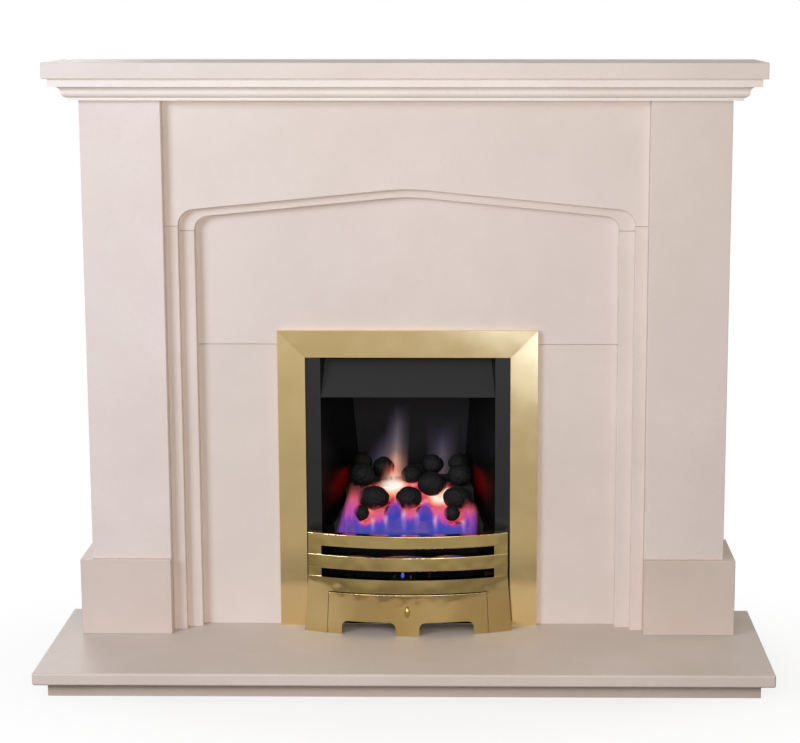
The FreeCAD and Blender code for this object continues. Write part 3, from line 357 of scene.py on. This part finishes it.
coal_dent = 0.16
coal_dent_size = 0.020
coal_pit = 0.09
coal_pit_size = 0.005
coal_black = coal_skin()
coal_heat = {"front_coals": 0.9, "middle_coals": 0.45, "rear_coals": 0.0, "back_coals": 0.0}
for row, row_heat in coal_heat.items():
    heap = bmesh.new()
    heat = heap.verts.layers.float.new("heat")
    for low, high in lumps_of(row):
        centre, half = (low + high) / 2, (high - low) / 2
        for vertex in bmesh.ops.create_icosphere(heap, subdivisions=5, radius=1.0)["verts"]:
            out = vertex.co.normalized()
            place = centre + Vector([out[axis] * half[axis] for axis in range(3)])
            dent = 0.5 + 0.5 * noise.noise(place / coal_dent_size)
            pit = max(0.0, noise.noise(place / coal_pit_size))
            vertex.co = centre + (place - centre) * (1 - coal_dent * dent * dent - coal_pit * pit)
            vertex[heat] = row_heat * min(1.0, max(0.0, 0.4 - 1.2 * out.z)) * min(1.0, max(0.0, 1.7 - 2 * abs(out.y)))
    coals = new_piece(row + "_lumps", heap, coal_black)
    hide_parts(row)

# Brass trim, fret, ashpan cover and knob: sheet and cast brass, buffed and lacquered. The broad
# faces keep a slight ripple from polishing, so their reflections run in soft waves.


def buffed_brass(name, pale, deep, roughness, ripple, wave_mm):
    material, tree, shader, coords = new_material(name, Metallic=1.0)
    place = coords.outputs["Object"]
    patina = add(tree, "TexNoise", {"Vector": place, "Scale": per_mm(120), "Detail": 3})
    tone = add(tree, "ValToRGB", {"Fac": patina.outputs["Fac"]}, stops=[(0.3, deep), (0.7, pale)])
    tree.links.new(tone.outputs["Color"], shader.inputs["Base Color"])
    haze = add(tree, "TexNoise", {"Vector": place, "Scale": per_mm(35), "Detail": 3})
    rough = add(tree, "MapRange", {"Value": haze.outputs["Fac"], "From Min": 0.3, "From Max": 0.7,
                                   "To Min": roughness - 0.03, "To Max": roughness + 0.03})
    tree.links.new(rough.outputs["Result"], shader.inputs["Roughness"])
    waves = add(tree, "TexNoise", {"Vector": place, "Scale": per_mm(wave_mm), "Detail": 1})
    bump = add(tree, "Bump", {"Height": waves.outputs["Fac"], "Strength": ripple, "Distance": 0.004})
    tree.links.new(bump.outputs["Normal"], shader.inputs["Normal"])
    return material


# painted shade: the knob and its grip take a darker copy of the cast brass, so that they stand out from the cover
shaded_knob_brass = buffed_brass("shaded_knob_brass", "#c8ae70", "#b0945a", 0.08, 0.1, 12)
coat(shaded_knob_brass, "ashpan_knob")
coat(buffed_brass("buffed_brass_sheet", "#e4cd9a", "#dfc792", 0.15, 0.12, 90), "trim_left", "trim_right", "trim_top")
coat(buffed_brass("buffed_brass_casting", "#cab57e", "#c2ab72", 0.1, 0.4, 45), "fret", "ashpan_cover")

# Knob grip: the upright brass oval that is pinched to lift the ashpan cover away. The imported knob
# has only its collar and neck, so the oval is made here, on the end of the neck.
knob_low, knob_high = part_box("ashpan_knob")
grip_half_width = 0.005
grip_half_height = 0.010
grip_bite = 0.001
grip_shape = bmesh.new()
bmesh.ops.create_uvsphere(grip_shape, u_segments=48, v_segments=32, radius=1.0)
grip_centre = Vector(((knob_low.x + knob_high.x) / 2, knob_low.y + grip_bite - grip_half_width,
                      (knob_low.z + knob_high.z) / 2))
for vertex in grip_shape.verts:
    vertex.co = grip_centre + Vector((vertex.co.x * grip_half_width, vertex.co.y * grip_half_width,
                                      vertex.co.z * grip_half_height))
grip = new_piece("ashpan_knob_grip", grip_shape, shaded_knob_brass, "ashpan_cover")

# Gas fittings: turned brass injector, pilot and elbow, copper pipes, an aluminium valve casting
# with a steel spindle and a black thermoset knob, and a glazed ceramic electrode.


def turned_metal(name, pale, deep, roughness):
    material, tree, shader, coords = new_material(name, Metallic=1.0)
    stain = add(tree, "TexNoise", {"Vector": coords.outputs["Object"], "Scale": per_mm(9), "Detail": 4})
    tone = add(tree, "ValToRGB", {"Fac": stain.outputs["Fac"]}, stops=[(0.3, deep), (0.7, pale)])
    tree.links.new(tone.outputs["Color"], shader.inputs["Base Color"])
    rough = add(tree, "MapRange", {"Value": stain.outputs["Fac"], "To Min": roughness - 0.08,
                                   "To Max": roughness + 0.1})
    tree.links.new(rough.outputs["Result"], shader.inputs["Roughness"])
    return material


def moulded(name, pale, deep, roughness, grain_mm):
    material, tree, shader, coords = new_material(name, IOR=1.5)
    grain = add(tree, "TexNoise", {"Vector": coords.outputs["Object"], "Scale": per_mm(grain_mm), "Detail": 2})
    tone = add(tree, "ValToRGB", {"Fac": grain.outputs["Fac"]}, stops=[(0.3, deep), (0.7, pale)])
    tree.links.new(tone.outputs["Color"], shader.inputs["Base Color"])
    rough = add(tree, "MapRange", {"Value": grain.outputs["Fac"], "To Min": roughness - 0.06,
                                   "To Max": roughness + 0.06})
    tree.links.new(rough.outputs["Result"], shader.inputs["Roughness"])
    bump = add(tree, "Bump", {"Height": grain.outputs["Fac"], "Strength": 0.2, "Distance": 0.0003})
    tree.links.new(bump.outputs["Normal"], shader.inputs["Normal"])
    return material


coat(turned_metal("turned_brass", "#7d6a42", "#57472a", 0.45), "injector", "pilot_burner", "inlet_elbow")
coat(turned_metal("drawn_copper", "#6a4636", "#402a20", 0.5), "supply_pipe", "burner_pipe", "pilot_pipe")
coat(turned_metal("die_cast_aluminium", "#b4b6b8", "#9a9c9f", 0.45), "gas_valve")
coat(turned_metal("turned_steel", "#a8aaac", "#85878a", 0.3), "valve_spindle", "thermocouple")
coat(moulded("black_thermoset", "#1d1d1e", "#131314", 0.5, 1.5), "control_knob")
coat(moulded("glazed_alumina", "#9a9488", "#79746a", 0.35, 4.0), "spark_electrode")

# Flames: burning gas, deep blue where it leaves the ports, violet and coral round the hot bed, and
# thinning to lilac wisps in front of the fireback. Every sheet stands on the deck, among the coals.
deck_low, deck_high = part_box("fuel_deck")
deck_fall = (deck_high.z - deck_low.z) / (deck_high.y - deck_low.y)


def flame_gas(name, colours, opacity, sides, streak_mm, waver, gaps):
    """Thin glowing gas, coloured from foot to tip, faded at its sides and broken into streaks."""
    material, tree, shader, coords = new_material(
        name, Base_Color=linear("#000000"), Roughness=1.0, Specular_IOR_Level=0.0, Emission_Strength=1.0)
    across = add(tree, "SeparateXYZ", {"Vector": coords.outputs["UV"]})
    stretched = add(tree, "Mapping", {"Vector": coords.outputs["Object"], "Scale": (1.0, 1.0, 0.25)})
    streaks = add(tree, "TexNoise", {"Vector": stretched.outputs[0], "Scale": per_mm(streak_mm), "Detail": 3})
    lifted = add(tree, "Math", {0: streaks.outputs["Fac"], 1: waver, 2: -0.5 * waver}, operation="MULTIPLY_ADD")
    level = add(tree, "Math", {0: across.outputs["Y"], 1: lifted.outputs[0]}, operation="ADD")
    colour = add(tree, "ValToRGB", {"Fac": level.outputs[0]}, stops=colours)
    tree.links.new(colour.outputs["Color"], shader.inputs["Emission Color"])
    thin = add(tree, "ValToRGB", {"Fac": level.outputs[0]}, stops=opacity)
    soft = add(tree, "ValToRGB", {"Fac": across.outputs["X"]}, stops=sides)
    broken = add(tree, "ValToRGB", {"Fac": streaks.outputs["Fac"]}, stops=[(0.34, gaps), (0.56, 1.0)])
    body = add(tree, "Math", {0: thin.outputs["Color"], 1: soft.outputs["Color"]}, operation="MULTIPLY")
    alpha = add(tree, "Math", {0: body.outputs[0], 1: broken.outputs["Color"]}, operation="MULTIPLY")
    tree.links.new(alpha.outputs[0], shader.inputs["Alpha"])
    return material


def flame_sheet(name, middle, half, y, tongues, lean, material):
    """A standing sheet of flame whose height is the sum of tongues of (x, height, width), in metres."""
    columns, rows = 96, 32
    shape = bmesh.new()
    uv = shape.loops.layers.uv.new("flame")
    foot = deck_low.z + deck_fall * (y - deck_low.y) + 0.003
    grid = []
    for column in range(columns + 1):
        x = middle - half + 2 * half * column / columns
        height = sum(tall * math.exp(-((x - centre) / wide) ** 2) for centre, tall, wide in tongues)
        for row in range(rows + 1):
            share = row / rows
            sway = 0.003 * math.sin(x * 70 + share * 2.2)
            grid.append(shape.verts.new((x + lean * share, y + sway, foot + height * share)))
    for column in range(columns):
        for row in range(rows):
            corners = [(column, row), (column + 1, row), (column + 1, row + 1), (column, row + 1)]
            face = shape.faces.new([grid[c * (rows + 1) + r] for c, r in corners])
            for loop, (c, r) in zip(face.loops, corners):
                loop[uv].uv = (c / columns, r / rows)
    return new_piece(name, shape, material)


rose_half, edge_half = 0.016, 0.007
edge_y, front_y, rose_y, coral_y = -0.083, -0.0815, -0.0795, -0.058
core_y, wisp_y = 0.020, 0.060
curtain_sides = [(0.0, 0.0), (0.11, 1.0), (0.89, 1.0), (1.0, 0.0)]
wisp_sides = [(0.0, 0.0), (0.25, 0.35), (0.5, 1.0), (0.75, 0.35), (1.0, 0.0)]
blue_gas = flame_gas(
    "blue_gas_flame", [(0.0, "#3a48a4"), (0.55, "#4046b0"), (0.74, "#6a46b8"), (0.9, "#b050c0"), (1.0, "#e070a8")],
    [(0.0, 1.0), (0.7, 0.95), (0.85, 0.7), (1.0, 0.0)], curtain_sides, 14, 0.35, 0.9)
rose_gas = flame_gas(
    "rose_gas_flame", [(0.0, "#6246b4"), (0.35, "#a44cb8"), (0.55, "#d458ac"), (0.75, "#e06484"), (0.95, "#d45058")],
    [(0.0, 0.95), (0.7, 0.9), (1.0, 0.0)], [(0.0, 0.0), (0.3, 0.9), (0.7, 0.9), (1.0, 0.0)], 10, 0.4, 0.7)
edge_gas = flame_gas(
    "white_gas_edge", [(0.0, "#5a5cc8"), (0.4, "#a888e8"), (0.7, "#ffb8e0"), (0.9, "#ffd0d8")],
    [(0.0, 0.1), (0.4, 0.4), (0.75, 0.65), (1.0, 0.0)], [(0.0, 0.0), (0.5, 1.0), (1.0, 0.0)], 12, 0.5, 0.4)
coral_gas = flame_gas(
    "coral_gas_flame", [(0.0, "#9a3c9c"), (0.35, "#cc4a7c"), (0.65, "#dc5c6c"), (0.9, "#dc584c")],
    [(0.0, 0.95), (0.6, 0.85), (1.0, 0.0)], curtain_sides, 14, 0.5, 0.35)
warm_wisp = flame_gas(
    "warm_gas_wisp", [(0.26, "#f0b0a0"), (0.38, "#a0847c"), (0.5, "#80707c"), (0.9, "#564c60")],
    [(0.25, 0.95), (0.5, 0.85), (0.7, 0.6), (0.98, 0.0)], wisp_sides, 70, 0.9, 0.75)
cool_wisp = flame_gas(
    "lilac_gas_wisp", [(0.3, "#665860"), (0.6, "#62586c"), (0.9, "#4c4864")],
    [(0.2, 0.8), (0.5, 0.75), (0.7, 0.5), (0.98, 0.0)], wisp_sides, 70, 0.9, 0.75)
flame_sheet("flame_blue_front", 0.0, 0.134, front_y,
            [(0.0, 0.036, 0.4), (-0.027, 0.042, 0.016), (0.034, 0.038, 0.017), (-0.088, -0.012, 0.018),
             (0.091, -0.012, 0.018), (-0.114, 0.022, 0.012), (0.124, 0.022, 0.010)], 0.0, blue_gas)
for port, (x, height, lean) in enumerate(((-0.057, 0.060, 0.0), (0.004, 0.062, 0.0), (0.061, 0.070, 0.0),
                                          (-0.130, 0.100, 0.030), (0.121, 0.066, 0.0))):
    flame_sheet("flame_rose_%d" % (port + 1), x, rose_half, rose_y, [(x, height, 0.2)], lean, rose_gas)
for edge, (x, height) in enumerate(((-0.0445, 0.044), (-0.0095, 0.056), (0.016, 0.048), (0.053, 0.046), (-0.071, 0.040),
                                    (0.108, 0.034))):
    flame_sheet("flame_edge_%d" % (edge + 1), x, edge_half, edge_y, [(x, height, 0.2)], 0.0, edge_gas)
flame_sheet("flame_coral_front", 0.0, 0.130, coral_y,
            [(0.0, 0.044, 0.4), (-0.112, 0.055, 0.012), (0.062, 0.016, 0.012), (0.118, 0.022, 0.012)], 0.0, coral_gas)
core_gas = flame_gas(
    "white_gas_flame", [(0.5, "#fff2e6"), (0.68, "#ffc0a0"), (0.8, "#ff8068"), (0.95, "#d84a40")],
    [(0.0, 1.0), (0.7, 0.9), (0.95, 0.0)], wisp_sides, 9, 0.45, 0.5)
flame_sheet("flame_core_left", -0.034, 0.028, core_y, [(-0.036, 0.100, 0.05)], 0.0, core_gas)
flame_sheet("flame_core_right", 0.061, 0.022, -0.002, [(0.061, 0.064, 0.05)], 0.0, core_gas)
flame_sheet("flame_wisp_left", -0.034, 0.026, 0.050, [(-0.034, 0.20, 0.2)], 0.010, warm_wisp)
flame_sheet("flame_wisp_right", 0.066, 0.034, wisp_y, [(0.066, 0.165, 0.2)], -0.004, cool_wisp)
flame_sheet("flame_wisp_far", -0.066, 0.034, wisp_y, [(-0.066, 0.135, 0.2)], 0.014, cool_wisp)

# Pilot flame: the small blue cone that burns on the pilot head under the middle of the bed.
pilot_low, pilot_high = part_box("pilot_burner")
pilot_flame_height = 0.014
pilot_flame_radius = 0.0034
pilot_shape = bmesh.new()
pilot_uv = pilot_shape.loops.layers.uv.new("flame")
pilot_gas = flame_gas("pilot_gas_flame", [(0.0, "#3a4cc8"), (0.5, "#5c62d8"), (0.9, "#8a8ce8")],
                      [(0.0, 0.95), (0.5, 0.7), (1.0, 0.0)], [(0.0, 1.0), (1.0, 1.0)], 20, 0.2, 0.8)
bmesh.ops.create_uvsphere(pilot_shape, u_segments=24, v_segments=16, radius=1.0)
for vertex in pilot_shape.verts:
    rise = (vertex.co.z + 1) / 2
    girth = pilot_flame_radius * (1 - rise ** 2) + 0.0004
    vertex.co = ((pilot_low.x + pilot_high.x) / 2 + vertex.co.x * girth,
                 (pilot_low.y + pilot_high.y) / 2 + vertex.co.y * girth,
                 pilot_high.z + pilot_flame_height * rise)
for face in pilot_shape.faces:
    for loop in face.loops:
        loop[pilot_uv].uv = (0.5, (loop.vert.co.z - pilot_high.z) / pilot_flame_height)
new_piece("pilot_flame", pilot_shape, pilot_gas)

# Studio: a pale floor, weak warm light from all round, a soft cool lamp on the left, a warm one in
# front, a low white card that the brass mirrors on the right, and lamps for the back and right side.


def studio_floor():
    """White to the camera, less the shade near the hearth, and in the brass a grey with painted shade that darkens
    towards the hearth.
    """
    shape = bmesh.new()
    bmesh.ops.create_grid(shape, x_segments=1, y_segments=1, size=12.0)
    mesh = bpy.data.meshes.new("studio_floor")
    shape.to_mesh(mesh)
    shape.free()
    floor = bpy.data.objects.new("studio_floor", mesh)
    bpy.context.scene.collection.objects.link(floor)
    material, tree, shader, coords = new_material("pale_floor", Roughness=0.9)
    path = add(tree, "LightPath")
    seen, mirrored = path.outputs["Is Camera Ray"], path.outputs["Is Glossy Ray"]
    tone = add(tree, "Mix", {0: seen, 6: linear("#6a6158"), 7: linear("#ffffff")}, data_type="RGBA")
    tree.links.new(tone.outputs[2], shader.inputs["Base Color"])
    spot = add(tree, "Mapping", {"Vector": coords.outputs["Object"], "Location": (0.0, -0.19, 0.0),
                                 "Scale": (1.2, 0.7, 1.0)}, vector_type="TEXTURE")
    near = add(tree, "TexGradient", {"Vector": spot.outputs[0]}, gradient_type="QUADRATIC_SPHERE")
    shade = add(tree, "MapRange", {"Value": near.outputs["Fac"], "From Max": 0.3, "To Min": 1.0, "To Max": 0.72})
    white = add(tree, "Math", {0: seen, 1: shade.outputs["Result"]}, operation="MULTIPLY")
    plain = add(tree, "Math", {0: white.outputs[0], 1: mirrored}, operation="MAXIMUM")
    # painted shade and light in the floor that only the brass sees: a grey that darkens towards the hearth, with a
    # paler band a little way out
    place = add(tree, "SeparateXYZ", {"Vector": coords.outputs["Object"]})
    distance = add(tree, "MapRange", {"Value": place.outputs["Y"], "From Min": -3.4, "From Max": -0.5})
    pale = add(tree, "ValToRGB", {"Fac": distance.outputs["Result"]},
                stops=[(0.0, "#dad4cc"), (0.55, "#c6c0b7"), (0.78, "#bdb7ad"), (0.86, "#cec7bc"), (1.0, "#8a837b")])
    colour = add(tree, "Mix", {0: mirrored, 6: linear("#ffffff"), 7: pale.outputs["Color"]}, data_type="RGBA")
    glow = add(tree, "Emission", {"Color": colour.outputs[2], "Strength": 1.0})
    mix = add(tree, "MixShader", {"Fac": plain.outputs[0], 1: shader.outputs[0], 2: glow.outputs[0]})
    tree.links.new(mix.outputs[0], tree.nodes["Material Output"].inputs["Surface"])
    mesh.materials.append(material)


studio_floor()

world = bpy.data.worlds.new("studio")
world.use_nodes = True
bpy.context.scene.world = world
sky = world.node_tree
path = add(sky, "LightPath")
seen = add(sky, "Math", {0: path.outputs["Is Camera Ray"], 1: path.outputs["Is Glossy Ray"]}, operation="MAXIMUM")
seen = add(sky, "Math", {0: seen.outputs[0], 1: path.outputs["Is Transmission Ray"]}, operation="MAXIMUM")
level = add(sky, "MapRange", {"Value": seen.outputs[0], "To Min": 0.28, "To Max": 1.0})
tint = add(sky, "Mix", {0: seen.outputs[0], 6: linear("#fff6e6"), 7: linear("#ffffff")}, data_type="RGBA")
sky.links.new(tint.outputs[2], sky.nodes["Background"].inputs["Color"])
sky.links.new(level.outputs["Result"], sky.nodes["Background"].inputs["Strength"])


def soft_lamp(name, place, aim, size, watts, colour):
    lamp = bpy.data.lights.new(name, "AREA")
    lamp.shape = "RECTANGLE"
    lamp.size, lamp.size_y = size
    lamp.energy = watts
    lamp.color = linear(colour)[:3]
    holder = bpy.data.objects.new(name, lamp)
    holder.location = place
    holder.rotation_euler = (Vector(aim) - Vector(place)).to_track_quat("-Z", "Y").to_euler()
    bpy.context.scene.collection.objects.link(holder)


soft_lamp("key_lamp", (-2.0, -2.2, 1.6), (0.0, -0.1, 0.8), (1.2, 1.0), 49, "#e6eeff")
soft_lamp("front_lamp", (0.2, -2.2, 1.05), (0.0, -0.1, 0.8), (1.2, 0.7), 17, "#fff2de")
soft_lamp("low_card", (0.6, -2.6, 0.23), (0.4, 0.0, 0.5), (1.0, 0.34), 4.0, "#b8ccff")
soft_lamp("back_lamp", (-1.6, 2.6, 1.5), (0.0, 0.1, 0.6), (1.2, 1.2), 20, "#ffffff")
soft_lamp("side_lamp", (2.6, 0.6, 1.0), (0.4, -0.1, 0.6), (1.0, 1.0), 10, "#ffffff")

# Camera: at standing height a little right of centre, tilted down, with a short lens shift.
photo_width, photo_height = 800, 743
focal_pixels = 1922.7
camera_data = bpy.data.cameras.new("camera")
camera_data.sensor_width = 36.0
camera_data.lens = focal_pixels / photo_width * camera_data.sensor_width
camera_data.shift_x = -60 / photo_width
camera_data.shift_y = -56 / photo_width
camera = bpy.data.objects.new("camera", camera_data)
camera.location = (0.1376, -3.7636, 1.28)
camera.rotation_euler = (math.radians(90 - 9.364), 0.0, math.radians(0.561))
bpy.context.scene.collection.objects.link(camera)
bpy.context.scene.camera = camera
bpy.context.scene.view_settings.view_transform = "Standard"
